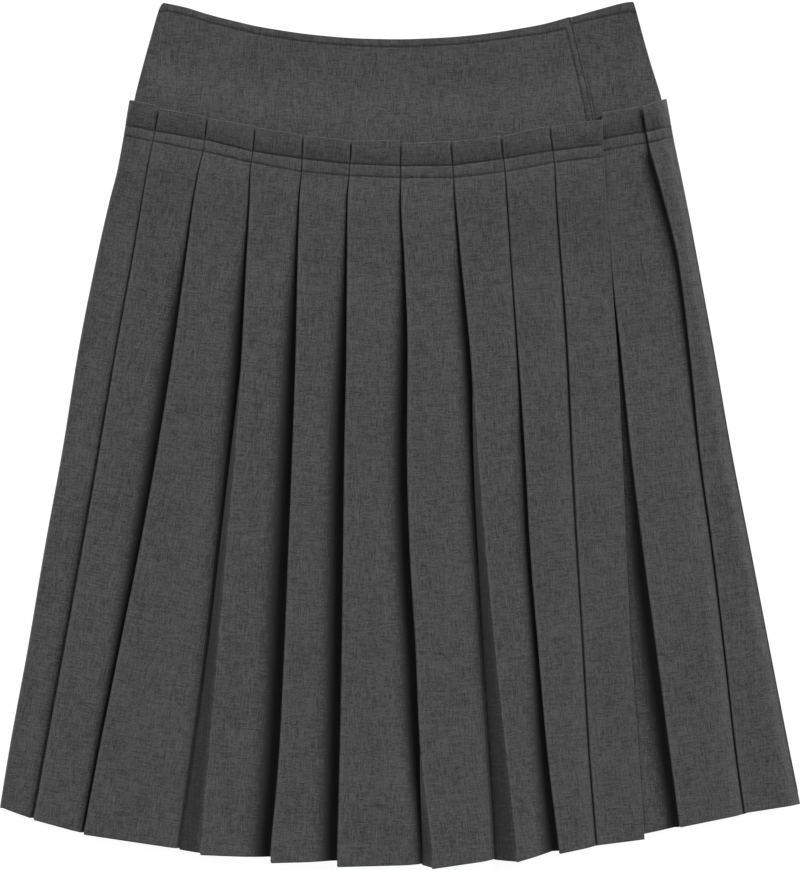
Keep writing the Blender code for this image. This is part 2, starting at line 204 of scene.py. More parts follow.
def hang_camera():
    camera = bpy.data.cameras.new("Camera")
    camera.lens = CAMERA_LENS
    camera.sensor_width = CAMERA_SENSOR
    camera.clip_end = 100.0
    holder = bpy.data.objects.new("Camera", camera)
    away = max(IMAGE_WIDTH, IMAGE_HEIGHT) * PIXEL * CAMERA_LENS / CAMERA_SENSOR
    holder.location = (0.0, 0.0, (away + FOCUS_HEIGHT) * MM)
    bpy.context.scene.collection.objects.link(holder)
    bpy.context.scene.camera = holder


make_table()
light_room()
hang_lamp("Lamp at the right", height=34.0, turn=44.0, spread=46.0, strength=2.95)
hang_lamp("Lamp at the left", height=36.0, turn=135.0, spread=42.0, strength=1.45)
hang_camera()
bpy.context.scene.view_settings.view_transform = "Standard"

# The back yoke: the smooth upper part of the back, wool cut to the hip and faced at the waist, with
# one row of topstitching below the waist's edge. It lies on the table, hidden under the front, and
# its lower part lies on the pleats of the back.
CLOTH = 0.7
CAD_CLOTH = 1.0
PLY = 1.3
BEND = PLY / 2
YOKE_EASE = 0.4
MIDDLE_X = -0.05
MIDDLE_DROP = 329.5

WAIST_X = (-181, -164, -146, -128, -110, -91, -73, -55, -37, -18, 0, 18, 37, 55, 73, 91, 110,
           119, 128, 137, 146, 155, 164, 173, 178)
WAIST_DROPS = (0.0, 3.6, 9.1, 13.7, 17.9, 21.2, 23.8, 25.7, 27.1, 27.8, 28.0, 27.5, 26.5, 25.0, 22.8,
               20.0, 16.4, 14.0, 11.4, 9.0, 6.4, 3.9, 1.4, -0.6, -1.0)
SIDE_ROLL = 9.0
SEAM_HALF_WIDTH = 211.0
FRILL_DROPS = (73.0, 107.5)
STITCH_1_DROPS = (94.5, 125.5)
STITCH_2_DROPS = (102.0, 134.5)
RISE_ABOVE_FRILL = 46.0
RISE_LENGTH = 40.0
YOKE_UNDER_SEAM = 6.0

YOKE_STATIONS = (0, 5, 20, 45, 75, 130, 160)
YOKE_LEFT = (-181, -183.5, -188, -195, -202.5, -213, -219)
YOKE_RIGHT = (178, 179.5, 183.5, 190.5, 199.5, 211, 216)
BACK_WAIST_LOWER = 1.5
BACK_EDGE_IN = 0.4

TOPSTITCH_IN = 5.7
TOPSTITCH_GROOVE = 0.45
TOPSTITCH_SPREAD = 0.75
FACING_PUFF = 0.22

CORNER_RADIUS = 1.4
EDGE_STEPS = (0.0, 0.35, 0.9, 1.7, 2.7, 3.8, 4.7, 5.2, 5.7, 6.2, 6.8, 7.8, 9.4, 12.0)

# The weave. A tone moves on through its noise by its CHANGES from one thread to the next, and a slub
# is a thick place that covers more than one thread. Then come the strengths of the tones, how much
# painted shade darkens them, and where painted shadow starts to turn the cloth near black and how fast.
WARP_PITCH = 0.52
WEFT_PITCH = 0.56
THREADS_APART = 90
SLUB_WIDTH = 0.6
YARN_CHANGES = 0.07
SLUB_CHANGES = 0.045
PATCH_CHANGES = 0.05
WIDE_CHANGES = 0.012
WEAVE_SHOWS, PATCH_SHOWS = 0.3, 1.3
WARP_MOTTLE, WARP_SLUBS = 2.0, 1.9
WEFT_MOTTLE, WEFT_SLUBS = 1.8, 1.6
SPECKS = 0.6
WIDE_MOTTLE = 0.25
PAINTED_SHADE_STRENGTH = 0.5
PAINTED_BLACK_FROM = 0.6
PAINTED_BLACK_GROWS = 0.6
WOOL_DARK = (0.030, 0.030, 0.0303, 1.0)
WOOL_LIGHT = (0.100, 0.100, 0.101, 1.0)
# A near black colour for painted shadow deep in the folds.
PAINTED_SHADOW_BLACK = (0.007, 0.007, 0.0071, 1.0)
INSIDE_DARK = (0.026, 0.026, 0.0264, 1.0)
INSIDE_LIGHT = (0.088, 0.088, 0.089, 1.0)
THREAD_DARK = (0.014, 0.014, 0.0145, 1.0)
THREAD_LIGHT = (0.034, 0.034, 0.0345, 1.0)
STITCH_LENGTH = 2.5
STITCH_GAP = 0.55
THREAD_RADIUS = 0.24
THREAD_SIDES = 6


def mix(low, high, share):
    return low + (high - low) * share


def smooth(value):
    """0 below 0, 1 above 1, and a soft step between."""
    held = np.clip(value, 0.0, 1.0)
    return held * held * (3 - 2 * held)


def curve(at, stations, values):
    """A smooth line through its values at the stations, which never overshoots them."""
    stations, values = np.asarray(stations, float), np.asarray(values, float)
    gaps = np.diff(stations)
    slopes = np.diff(values) / gaps
    before, after = slopes[:-1], slopes[1:]
    same = before * after > 0
    inner = np.zeros(len(before))
    inner[same] = 2 * before[same] * after[same] / (before[same] + after[same])
    tangents = np.concatenate([slopes[:1], inner, slopes[-1:]])
    at = np.clip(at, stations[0], stations[-1])
    i = np.clip(np.searchsorted(stations, at, side="right") - 1, 0, len(gaps) - 1)
    gap = gaps[i]
    t = (at - stations[i]) / gap
    start = values[i] * (1 + 2 * t) + gap * t * tangents[i]
    end = values[i + 1] * (3 - 2 * t) - gap * (1 - t) * tangents[i + 1]
    return start * (1 - t) ** 2 + end * t**2


def arch(x, ends, middle, half_width, centre=0.0):
    """A drop that is ends at the sides and middle in the middle, along a parabola."""
    return middle + (ends - middle) * ((x - centre) / half_width) ** 2


def waist(x):
    return curve(x, WAIST_X, WAIST_DROPS)


def seam_drops(x):
    """The drops of the frill's edge and of the two rows of stitching, as smooth curves."""
    levels = (FRILL_DROPS, STITCH_1_DROPS, STITCH_2_DROPS)
    return [arch(x, ends, middle, SEAM_HALF_WIDTH) for ends, middle in levels]


def lower_edge(x):
    """The yoke's lower edge, under the pleats that are sewn over it."""
    return seam_drops(x)[2] + YOKE_UNDER_SEAM


def past_frill(x, drop):
    """0 in the upper yoke, 1 where the yoke lies on the pleats of the back."""
    return smooth((drop - seam_drops(x)[0] + RISE_ABOVE_FRILL) / RISE_LENGTH)


def back_yoke_level(x, drop):
    left, right = (curve(drop, YOKE_STATIONS, side) for side in (YOKE_LEFT, YOKE_RIGHT))
    room = np.minimum(x - left, right - x)
    raised = past_frill(x, drop)
    return CAD_CLOTH / 2 + raised * PLY * (1 + 2 * smooth(room / SIDE_ROLL))


def ripple(x, drop, length, seed):
    """Soft unevenness between -1 and 1."""
    flat = [
        noise.noise(Vector((a / length, b / length, seed)))
        for a, b in zip(np.ravel(x), np.ravel(drop))
    ]
    return np.reshape(flat, np.shape(x))


def unit(vectors):
    return vectors / np.linalg.norm(vectors, axis=-1, keepdims=True)


def cloth_finish(name, dark, light):
    """Plain weave of mottled yarn: each warp and weft thread has its own slowly changing tone, and a
    pattern of ups and downs shows one or the other."""
    wool = Shader(name)
    grain = wool.node("ShaderNodeAttribute", {"attribute_name": "grain"}, {}, "Vector")
    across, along = wool.split(grain)
    across, along = across / (WARP_PITCH * MM), along / (WEFT_PITCH * MM)
    warp, weft = across.floor(), along.floor()

    def own(number):
        """A random number of a thread's own."""
        return wool.node("ShaderNodeTexWhiteNoise", {"noise_dimensions": "1D"}, {"W": number})

    warp_own, weft_own = own(warp), own(weft + 0.5)
    warp_pair = own((across * SLUB_WIDTH).floor() + 0.3)
    weft_pair = own((along * SLUB_WIDTH).floor() + 0.7)
    warp_tone = wool.cloud(wool.join(warp_own * THREADS_APART, along * YARN_CHANGES), 1.0, 2.0)
    weft_tone = wool.cloud(wool.join(across * YARN_CHANGES, weft_own * THREADS_APART, 7.0), 1.0, 2.0)
    warp_slub = wool.cloud(wool.join(warp_pair * THREADS_APART, along * SLUB_CHANGES, 21.0), 1.0, 2.0)
    weft_slub = wool.cloud(wool.join(across * SLUB_CHANGES, weft_pair * THREADS_APART, 33.0), 1.0, 2.0)
    patch = wool.cloud(wool.join(across * PATCH_CHANGES, along * PATCH_CHANGES, 3.0), 1.0, 1.0)
    wide = wool.cloud(wool.join(across * WIDE_CHANGES, along * WIDE_CHANGES, 11.0), 1.0, 2.0)
    over = (warp + weft) % 2
    speck = own(warp * 1.37 + weft * 71.3) - 0.5
    shown = (over - 0.5) * WEAVE_SHOWS + (patch - 0.5) * PATCH_SHOWS + 0.5
    shown = wool.node("ShaderNodeClamp", {}, {"Value": shown})
    tone = (warp_tone - 0.5) * WARP_MOTTLE + (warp_slub - 0.5) * WARP_SLUBS
    other = (weft_tone - 0.5) * WEFT_MOTTLE + (weft_slub - 0.5) * WEFT_SLUBS
    # Painted shade and painted highlight come from the mesh: they darken or lighten the tone, and strong
    # painted shade turns the cloth near black, a painted shadow in the folds.
    painted_light_and_shade = wool.node("ShaderNodeAttribute", {"attribute_name": "painted_light_and_shade"}, {}, "Fac")
    tone = tone * (1 - shown) + other * shown + speck * SPECKS + (wide - 0.5) * WIDE_MOTTLE
    tone = tone + 0.5 - painted_light_and_shade * PAINTED_SHADE_STRENGTH
    tone = wool.node("ShaderNodeClamp", {}, {"Value": tone})
    deep = wool.node("ShaderNodeClamp", {}, {"Value": (painted_light_and_shade - PAINTED_BLACK_FROM) * PAINTED_BLACK_GROWS})
    colour = wool.blend(deep, wool.blend(tone, dark, light), PAINTED_SHADOW_BLACK)
    wool.feed(wool.surface["Base Color"], colour)
    wool.surface["Roughness"].default_value = 0.92
    wool.surface["Specular IOR Level"].default_value = 0.2
    wool.surface["Sheen Weight"].default_value = 0.25
    wool.surface["Sheen Roughness"].default_value = 0.5
    warp_round = ((across - warp) * math.pi).sine()
    weft_round = ((along - weft) * math.pi).sine()
    height = (warp_round + weft_round) * 0.35 + over * 0.15 + tone * 0.8
    bump = wool.node("ShaderNodeBump", {}, {"Strength": 0.5, "Distance": 0.00012, "Height": height})
    wool.feed(wool.surface["Normal"], bump)
    return wool.material


def cloth_piece(name, x, drop, z, across, along, painted_light_and_shade, finish):
    """A piece of cloth through a grid of points on its middle, in rows from the waist down: two
    skins and a rounded rim. Returns the piece and its outer skin."""
    rows, columns = x.shape
    middle = np.stack([x - MIDDLE_X, MIDDLE_DROP - drop, z], axis=-1)
    down = unit(np.gradient(middle, axis=0))
    ahead = unit(np.gradient(middle, axis=1))
    up = unit(np.cross(down, ahead))
    inner = middle.copy()
    half = CLOTH / 2
    inner[0] += down[0] * half
    inner[-1] -= down[-1] * half
    inner[:, 0] += ahead[:, 0] * half
    inner[:, -1] -= ahead[:, -1] * half
    outer, under = inner + up * half, inner - up * half
    index = np.arange(rows * columns).reshape(rows, columns)
    rim = np.concatenate([index[0], index[1:, -1], index[-1, -2::-1], index[-2:0:-1, 0]])
    count, around = rows * columns, len(rim)
    flat_middle = middle.reshape(-1, 3)
    points = np.concatenate([outer.reshape(-1, 3), under.reshape(-1, 3), flat_middle[rim]])
    a, b, c, d = index[:-1, :-1], index[1:, :-1], index[1:, 1:], index[:-1, 1:]
    top = np.stack([a, b, c, d], axis=-1).reshape(-1, 4)
    edge = 2 * count + np.arange(around)
    after, edge_after = np.roll(rim, -1), np.roll(edge, -1)
    upper_rim = np.stack([rim, after, edge_after, edge], axis=-1)
    lower_rim = np.stack([edge, edge_after, after + count, rim + count], axis=-1)
    faces = np.concatenate([top, upper_rim, top[:, ::-1] + count, lower_rim])
    mesh = bpy.data.meshes.new(name)
    mesh.from_pydata((points * MM).tolist(), [], faces.tolist())
    grain = np.stack([across, along, np.zeros_like(across)], axis=-1).reshape(-1, 3)
    grain = np.concatenate([grain, grain, grain[rim]]) * MM
    mesh.attributes.new("grain", "FLOAT_VECTOR", "POINT").data.foreach_set(
        "vector", grain.astype(np.float32).ravel()
    )
    # The cloth's painted shade, and painted highlight where it is below zero, goes on every point.
    painted_light_and_shade = np.ravel(painted_light_and_shade)
    painted_light_and_shade = np.concatenate([painted_light_and_shade, painted_light_and_shade, painted_light_and_shade[rim]]).astype(np.float32)
    mesh.attributes.new("painted_light_and_shade", "FLOAT", "POINT").data.foreach_set("value", painted_light_and_shade)
    mesh.shade_smooth()
    mesh.materials.append(finish)
    piece = bpy.data.objects.new(name, mesh)
    bpy.context.scene.collection.objects.link(piece)
    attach(piece, "root")
    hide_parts(name)
    return piece, outer


def yoke_grid(left, right, top, bottom, columns, rows, spread):
    """x and drop of a yoke's points. left and right give x at a drop, top and bottom a drop at x. A
    column or a row is a share of the way across or down and a distance to add to it, and spread
    widens the distances of the rows at an x."""
    shares, extras = np.array(columns).T
    row_shares, row_extras = (part[:, None] for part in np.array(rows).T)
    drop = np.full((len(rows), len(columns)), 60.0)
    for _ in range(8):
        x = mix(left(drop), right(drop), shares) + extras
        drop = mix(top(x), bottom(x), row_shares) + row_extras * spread(x)
    return x, drop


def between(count, near=0.0, far=0.0):
    """Evenly spaced columns or rows that start near one end and stop far before the other."""
    return [(share, mix(near, -far, share)) for share in np.linspace(0, 1, count)]


def sew(name, paths, finish):
    """Rows of stitches along paths on a cloth's outer skin, each stitch a short arched thread."""
    points, faces = [], []
    stations = np.array([0.0, 0.18, 0.5, 0.82, 1.0])
    rise = np.array([-0.16, 0.06, 0.13, 0.06, -0.16])
    girth = np.array([0.6, 0.95, 1.0, 0.95, 0.6]) * THREAD_RADIUS
    corners = np.arange(THREAD_SIDES) * 2 * math.pi / THREAD_SIDES
    for path in paths:
        steps = np.concatenate([[0], np.cumsum(np.linalg.norm(np.diff(path, axis=0), axis=1))])
        pitch = STITCH_LENGTH + STITCH_GAP
        for k in range(max(1, int((steps[-1] - STITCH_GAP) / pitch))):
            start = STITCH_GAP / 2 + k * pitch
            at = start + stations * STITCH_LENGTH
            centre = np.stack([np.interp(at, steps, path[:, i]) for i in range(3)], axis=1)
            centre[:, 2] += rise
            heading = unit(centre[-1] - centre[0])
            side = unit(np.cross(heading, (0, 0, 1)))
            ring = np.cos(corners)[:, None] * side + np.sin(corners)[:, None] * np.array([0, 0, 1])
            base = len(points)
            for place, size in zip(centre, girth):
                points.extend(place + ring * size)
            tip = len(points) - THREAD_SIDES
            for low in range(base, tip, THREAD_SIDES):
                high = low + THREAD_SIDES
                for j in range(THREAD_SIDES):
                    beside = (j + 1) % THREAD_SIDES
                    faces.append((low + j, low + beside, high + beside, high + j))
            faces.append(tuple(range(base + THREAD_SIDES - 1, base - 1, -1)))
            faces.append(tuple(range(tip, tip + THREAD_SIDES)))
    mesh = bpy.data.meshes.new(name)
    mesh.from_pydata((np.array(points) * MM).tolist(), [], faces)
    mesh.shade_smooth()
    mesh.materials.append(finish)
    piece = bpy.data.objects.new(name, mesh)
    bpy.context.scene.collection.objects.link(piece)
    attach(piece, "root")
    return piece


def thread_finish():
    thread = Shader("Grey thread")
    place = thread.node("ShaderNodeTexCoord", {}, {}, "Object")
    x, y = thread.split(place)
    twist = ((x + y) * (2 * math.pi / (0.5 * MM))).sine() * 0.5 + 0.5
    speckle = thread.cloud(place, 2400.0, 2.0)
    colour = thread.blend(twist * 0.5 + speckle * 0.5, THREAD_DARK, THREAD_LIGHT)
    thread.feed(thread.surface["Base Color"], colour)
    thread.surface["Roughness"].default_value = 0.7
    thread.surface["Sheen Weight"].default_value = 0.1
    bump = thread.node("ShaderNodeBump", {}, {"Strength": 0.6, "Distance": 0.00006, "Height": twist})
    thread.feed(thread.surface["Normal"], bump)
    return thread.material


def rounded(top, left, right):
    """A waist line whose corners are turned round."""

    def line(x):
        drop = top(x)
        room = np.clip(np.minimum(x - left(drop), right(drop) - x) / CORNER_RADIUS, 0, 1)
        return drop + CORNER_RADIUS * (1 - np.sqrt(1 - (1 - room) ** 2))

    return line


def faced_edge(z, from_waist):
    """The waist's facing: a groove where it is topstitched, and a soft roll above that."""
    groove = TOPSTITCH_GROOVE * np.exp(-(((from_waist - TOPSTITCH_IN) / TOPSTITCH_SPREAD) ** 2))
    inside = np.clip(from_waist / TOPSTITCH_IN, 0, 1)
    return z - groove + FACING_PUFF * np.sin(math.pi * inside) ** 0.8 * (inside < 1)


def painted_seam_shade(*distances):
    """Painted shade beside rows of stitching, where their grooves fall dark, at some distances from them.
    """
    return sum(np.exp(-((away / 0.8) ** 2)) for away in distances)


# Painted shade along the waist's topstitching and a thin painted shade along the waist's top edge.
def painted_waist_shade(from_waist):
    return 0.75 * painted_seam_shade(from_waist - TOPSTITCH_IN) + 0.6 * np.exp(-((from_waist / 0.6) ** 2))


def yoke_side(values):
    return lambda drop: curve(drop, YOKE_STATIONS, values)


wool = cloth_finish("Grey wool", WOOL_DARK, WOOL_LIGHT)
wool_inside = cloth_finish("Grey wool, inside", INSIDE_DARK, INSIDE_LIGHT)
thread = thread_finish()
yoke_left, yoke_right = yoke_side(YOKE_LEFT), yoke_side(YOKE_RIGHT)


def back_waist(x):
    return waist(x) + BACK_WAIST_LOWER


WAIST_ROWS = [(0.0, step) for step in EDGE_STEPS] + between(24, 16.0, 0.0)
back_columns = [(0.0, BACK_EDGE_IN + step) for step in (0.0, 0.35, 1.0, 2.5, 5.0)]
back_columns += between(50, 9.0, 9.0)
back_columns += [(1.0, -BACK_EDGE_IN - step) for step in (5.0, 2.5, 1.0, 0.35, 0.0)]
top = rounded(back_waist, yoke_left, yoke_right)
x, drop = yoke_grid(yoke_left, yoke_right, top, lower_edge, back_columns, WAIST_ROWS, np.ones_like)
z = back_yoke_level(x, drop)
# Painted shade along the topstitching and the waist's edge.
shade = painted_waist_shade(drop - top(x))
back_yoke, skin = cloth_piece("back_yoke", x, drop, z, x, drop, shade, wool_inside)

# The underlap's yoke: the smooth piece that comes round from the right side and runs on under the
# front yoke. It is topstitched at the waist like the rest.
UNDERLAP_REACH = 45.0
UNDERLAP_WAIST_LOWER = 0.4
UNDERLAP_SPREADS = 0.32
UNDERLAP_SPREADS_FROM, UNDERLAP_SPREADS_OVER = 132.0, 40.0
YOKE_WRAP = (126.6, 128.2, 132.4, 138.5, 145.3, 154, 156)

yoke_wrap = yoke_side(YOKE_WRAP)


def underlap_yoke_level(x, drop):
    return back_yoke_level(x, drop) + PLY + YOKE_EASE


def underlap_edge(drop):
    return yoke_wrap(drop) - UNDERLAP_REACH


def underlap_waist(x):
    return waist(x) + UNDERLAP_WAIST_LOWER


def underlap_spread(x):
    """How much further in from the waist the topstitching runs, towards the right side."""
    return 1 + UNDERLAP_SPREADS * smooth((x - UNDERLAP_SPREADS_FROM) / UNDERLAP_SPREADS_OVER)


columns = [(0.0, step) for step in (0.0, 0.35, 1.0, 3.0)] + between(34, 6.0, 4.0)
columns += [(1.0, -step) for step in (2.5, 1.0, 0.35, 0.0)]
top = rounded(underlap_waist, underlap_edge, yoke_right)
x, drop = yoke_grid(underlap_edge, yoke_right, top, lower_edge, columns, WAIST_ROWS, underlap_spread)
from_waist = (drop - top(x)) / underlap_spread(x)
z = faced_edge(underlap_yoke_level(x, drop), from_waist)
z += 0.12 * ripple(x, drop, 28.0, 4.0)
# Painted shade makes the whole underlap yoke a little darker, with more painted shade along its
# topstitching and waist edge.
shade = 0.1 + painted_waist_shade(from_waist)
underlap_yoke, skin = cloth_piece("underlap_yoke", x, drop, z, x, drop, shade, wool)
stitch_row = EDGE_STEPS.index(TOPSTITCH_IN)
seam = sew("underlap_yoke_stitches", [skin[stitch_row]], thread)

# The front yoke: one smooth shaped piece from the left side to the slanted wrap edge, faced at the
# waist and along that edge. A row of topstitching runs beside both, and a second one keeps the wrap
# edge flat.
WRAP_STITCH_IN = 6.2
WRAP_EDGE_STITCH_IN = 1.4
WRAP_FADE = 55.0
WRAP_CLEAR = 2.0
WRAP_STITCH_PAINTED_SHADE = 1.3
WRAP_STITCH_SPREAD = 0.6
WRAP_EDGE_STITCH_PAINTED_SHADE = 1.6
WRAP_EDGE_STITCH_SPREAD = 0.5
WRAP_EDGE_GROOVE = 0.3
WRAP_RIM_PAINTED_HIGHLIGHT = 0.6
WRAP_RIM = 0.4
FRONT_SPREAD_LEAST = 1.04
FRONT_SPREADS = 0.36
FRONT_SPREADS_FROM, FRONT_SPREADS_OVER = 80.0, 45.0


def over_underlap(x, edge):
    """1 where the front lies over the underlap, 0 to the left of it."""
    return smooth((x - edge + WRAP_FADE + WRAP_CLEAR) / WRAP_FADE)


def front_yoke_level(x, drop):
    wrapped = over_underlap(x, underlap_edge(drop))
    return underlap_yoke_level(x, drop) + wrapped * (PLY + (PLY + YOKE_EASE) * past_frill(x, drop))


def front_spread(x):
    """How much further in from the waist the topstitching runs, towards the wrap edge."""
    return FRONT_SPREAD_LEAST + FRONT_SPREADS * smooth((x - FRONT_SPREADS_FROM) / FRONT_SPREADS_OVER)


columns = [(0.0, step) for step in (0.0, 0.35, 1.0, 2.5, 5.0)] + between(110, 8.0, 10.0)
steps = (9.0, 7.8, 7.1, 6.6, 6.2, 5.8, 5.3, 4.4, 3.2, 2.3, 1.8, 1.4, 1.0, 0.6, 0.25, 0.0)
columns += [(1.0, -step) for step in steps]
top = rounded(waist, yoke_left, yoke_wrap)
x, drop = yoke_grid(yoke_left, yoke_wrap, top, lower_edge, columns, WAIST_ROWS, front_spread)
from_waist, from_wrap = (drop - top(x)) / front_spread(x), yoke_wrap(drop) - x
inside = smooth(from_waist - TOPSTITCH_IN + 0.5)
clear = smooth(from_wrap - WRAP_STITCH_IN + 0.5)
z = front_yoke_level(x, drop) + 0.16 * ripple(x, drop, 34.0, 1.0)
z += faced_edge(0.0, from_waist) * clear
z += faced_edge(0.0, from_wrap * TOPSTITCH_IN / WRAP_STITCH_IN) * inside
from_stitches = (from_wrap - WRAP_STITCH_IN) / WRAP_STITCH_SPREAD
from_edge_stitches = (from_wrap - WRAP_EDGE_STITCH_IN) / WRAP_EDGE_STITCH_SPREAD
z -= WRAP_EDGE_GROOVE * np.exp(-(from_edge_stitches**2))
# Painted shade along the waist's topstitching, along the stitching beside the wrap edge and along its
# edge stitching.
shade = painted_waist_shade(from_waist) * clear
shade += WRAP_STITCH_PAINTED_SHADE * np.exp(-(from_stitches**2)) * inside
shade += WRAP_EDGE_STITCH_PAINTED_SHADE * np.exp(-(from_edge_stitches**2))
# A painted highlight along the rim of the wrap edge.
shade -= WRAP_RIM_PAINTED_HIGHLIGHT * np.exp(-((from_wrap / WRAP_RIM) ** 2))
front_yoke, skin = cloth_piece("front_yoke", x, drop, z, x, drop, shade, wool)
wrap_column = len(columns) - len(steps) + steps.index(WRAP_STITCH_IN)
edge_column = len(columns) - len(steps) + steps.index(WRAP_EDGE_STITCH_IN)
paths = [skin[stitch_row, : wrap_column + 1], skin[stitch_row:, wrap_column], skin[2:, edge_column]]
seam = sew("front_yoke_stitches", paths, thread)

# The back's pleats: one wide panel folded into knife pleats, with two rows of stitching that hold
# the pleats to the back yoke below a free frill. It lies on the table with its outside down.
STATIONS = (85, 112, 130, 150, 195, 265, 340, 415, 490, 570, 645)
SIDE_LEFT_X = (-207.5, -212, -215.5, -220.8, -231, -244.8, -256.8, -270.4, -283, -297.6, -309.5)
SIDE_RIGHT_X = (204.8, 209.8, 213.6, 217.7, 226.2, 239, 252, 266.6, 281, 296.6, 311.9)
FORM_STATIONS = (130, 265, 340, 490, 645)
BACK_FOLDS = 12
BACK_FIRST_FOLD = 0.046
BACK_LAST_FOLD = 0.95
BACK_SEAM_LOWER = 1.0
BACK_HEM_DROPS = (601.0, 650.0)
HEM_HALF_WIDTH = 303.0

FRILL_HEIGHT = 20.0
STITCH_ROWS_APART = 9.5
BELOW_STITCHES = 30.0
SKIRT_LENGTH = 480
PANEL_PITCH = 97.0

# A face slopes down from its ridge, and rolls over into the gap at its end.
EDGE_INWARD = np.array([0.0, 0.5, 1.3, 2.6])
EDGE_RISES = np.array([0.0, 0.55, 0.88, 1.0])
FACE_CROWDED = 0.11
FACE_SLOPE = 0.16
FACE_END = 0.5
FACE_FALLS = 0.034
CREASE_SPREAD = 1.5
HELD_FADE = 5.0
ROLL_LEAST = 2.0
ROLL_GROWS = 1.8
ROLL_CURVE = 1.65
LAST_ROLL = 9.0

# The gap at a fold: its width, when it counts as a wide or an open one, the bends in it, and how far
# the cloth under the pleat is drawn back from the frill's edge and from the hem.
GAP_LEAST = 1.1
GAP_OPENS = 0.44
GAP_IN_FRILL = 0.15
GAP_OPENS_OVER = 14.0
FRILL_GAP = 0.7
NARROW_SLOT = 2.0
SLOT_WIDENS = 5.0
OPEN_TUCK = 3.0
GAP_FOOT = 0.15
FOOT_CLEAR = 0.3
GAP_SAG = 0.05
FOLD_BOW = 0.035
FRILL_TUCK = 1.6
HEM_TUCK = -0.9
HEM_STEP_RUN = 1.5

# Painted shade down a wide gap, a narrow one and one beside a pleat that stands open, and up
# the return of that pleat. It fades out over the roll and over the rise to the ridge, which gets a
# painted highlight.
GAP_PAINTED_SHADE = 2.0
NARROW_GAP_PAINTED_SHADE = 1.2
OPEN_GAP_PAINTED_SHADE = 2.4
RETURN_PAINTED_SHADE = 0.85
ROLL_FADE = 1.15
RISE_FADE = 3.0
OPEN_RISE_FADE = 9.0
RIDGE_PAINTED_HIGHLIGHT = 0.5
RIDGE_SPREAD = 1.5

# The two rows of stitching press the pleats flat around them and leave a groove, and painted shade lies
# along them.
# The frill puffs out above them, and a little between them.
PRESS_FLAT = 0.36
PRESS_REACH = 9.0
SEAM_FLAT = 0.12
SEAM_REACH = 1.0
SEAM_GROOVE = 0.3
SEAM_GROOVE_REACH = 0.75
SEAM_PAINTED_SHADE = 0.55
PUFF_FROM = 0.2
PUFF_REACH = 8.0
PUFF_BETWEEN = 0.08
FRILL_RIM_PAINTED_HIGHLIGHT = 0.1
FRILL_RIM = 0.5

# frill, stitch_1, stitch_2 and hem are drops. frill_step and hem_step say how much lower the face to
# the right of the line starts than the face to its left ends. slot, lift and tuck are given at
# FORM_STATIONS: the width of the gap at the fold's left, how far its ridge stands above three flat
# plies, and how far the cloth runs in under it. A tuck below zero leaves the pleat standing open.
# deep is the share of a gap's painted shade that this one has.
Line = namedtuple(
    "Line", "x frill frill_step stitch_1 stitch_2 hem hem_step slot lift tuck deep",
    defaults=((0,) * 5, (0,) * 5, (0,) * 5, 1.0),
)

# A row of the mesh lies at a share of the way down one of four stretches of the panel: the frill, the
# band between the rows of stitching, the cloth just below them, and the skirt down to the hem.
Row = namedtuple("Row", "stretch share")
FRILL, STITCHED, BELOW, SKIRT = range(4)


def row_drops(line, row):
    """Where a row of the mesh meets a line, for the face that ends there and the one that starts."""
    below = line.stitch_2 + BELOW_STITCHES
    after = (line.frill, line.stitch_1, line.stitch_2, below, line.hem)
    before = (line.frill - line.frill_step, line.stitch_1, line.stitch_2, below, line.hem - line.hem_step)
    return [mix(ends[row.stretch], ends[row.stretch + 1], row.share) for ends in (before, after)]


def line_x(drop, values):
    """x of a line down the pleats. Above its first station it keeps its slant."""
    slant = (values[1] - values[0]) / (STATIONS[1] - STATIONS[0])
    return curve(drop, STATIONS, values) + slant * np.minimum(drop - STATIONS[0], 0.0)


def turn(centre_x, centre_z, start, end, steps):
    """Points round a bend of the cloth."""
    angles = np.linspace(start, end, steps)
    return centre_x + BEND * np.cos(angles), centre_z + BEND * np.sin(angles)


def straight(first, last, count, bow=0.0):
    """Points between two others, without them, bowed to one side."""
    share = (np.arange(count) + 1) / (count + 1)
    x, z = mix(first[0], last[0], share), mix(first[1], last[1], share)
    run = math.hypot(last[0] - first[0], last[1] - first[1])
    lean = bow * np.sin(math.pi * share)
    return x - lean * (last[1] - first[1]) / run, z + lean * (last[0] - first[0]) / run


Detail = namedtuple("Detail", "face slot under inner side outer")
FINE = Detail(15, 6, 2, 5, 5, 7)
PLAIN = Detail(6, 3, 1, 4, 1, 5)


def fold(slot_left, slot_height, ridge_x, ridge_height, inner_x, detail):
    """The middle of the cloth from the end of a face, down the gap, round the inner fold, back up
    and round the ridge: the part that goes with the face before, and the part that goes with the
    ridge."""
    slot_right = min(ridge_x, inner_x)
    width = slot_right - slot_left
    foot_x = min(slot_right - GAP_FOOT * width, inner_x - BEND - FOOT_CLEAR)
    share = np.linspace(0, 1, detail.slot + 1)[1:]
    fall = slot_height * (1 - smooth(share)) - GAP_SAG * width * share * (1 - share) ** 2
    before = [(slot_left + (foot_x - slot_left) * share, fall)]
    inner, outer = (inner_x - BEND, BEND), (ridge_x + BEND, ridge_height - BEND)
    run = math.hypot(outer[0] - inner[0], outer[1] - inner[1])
    heading = math.atan2(outer[1] - inner[1], outer[0] - inner[0])
    side = heading + math.asin(min(2 * BEND / run, 1.0))
    first = turn(*inner, -math.pi / 2, side - math.pi / 2, detail.inner)
    last = turn(*outer, side + math.pi / 2, math.pi / 2, detail.outer)
    before.append(straight((foot_x, 0.0), (first[0][0], first[1][0]), detail.under))
    bow = FOLD_BOW * run if inner_x < ridge_x else 0.0
    ends = (first[0][-1], first[1][-1]), (last[0][0], last[1][0])
    after = [first, straight(*ends, detail.side, bow), last]
    return [np.concatenate(part, axis=1) for part in (before, after)]


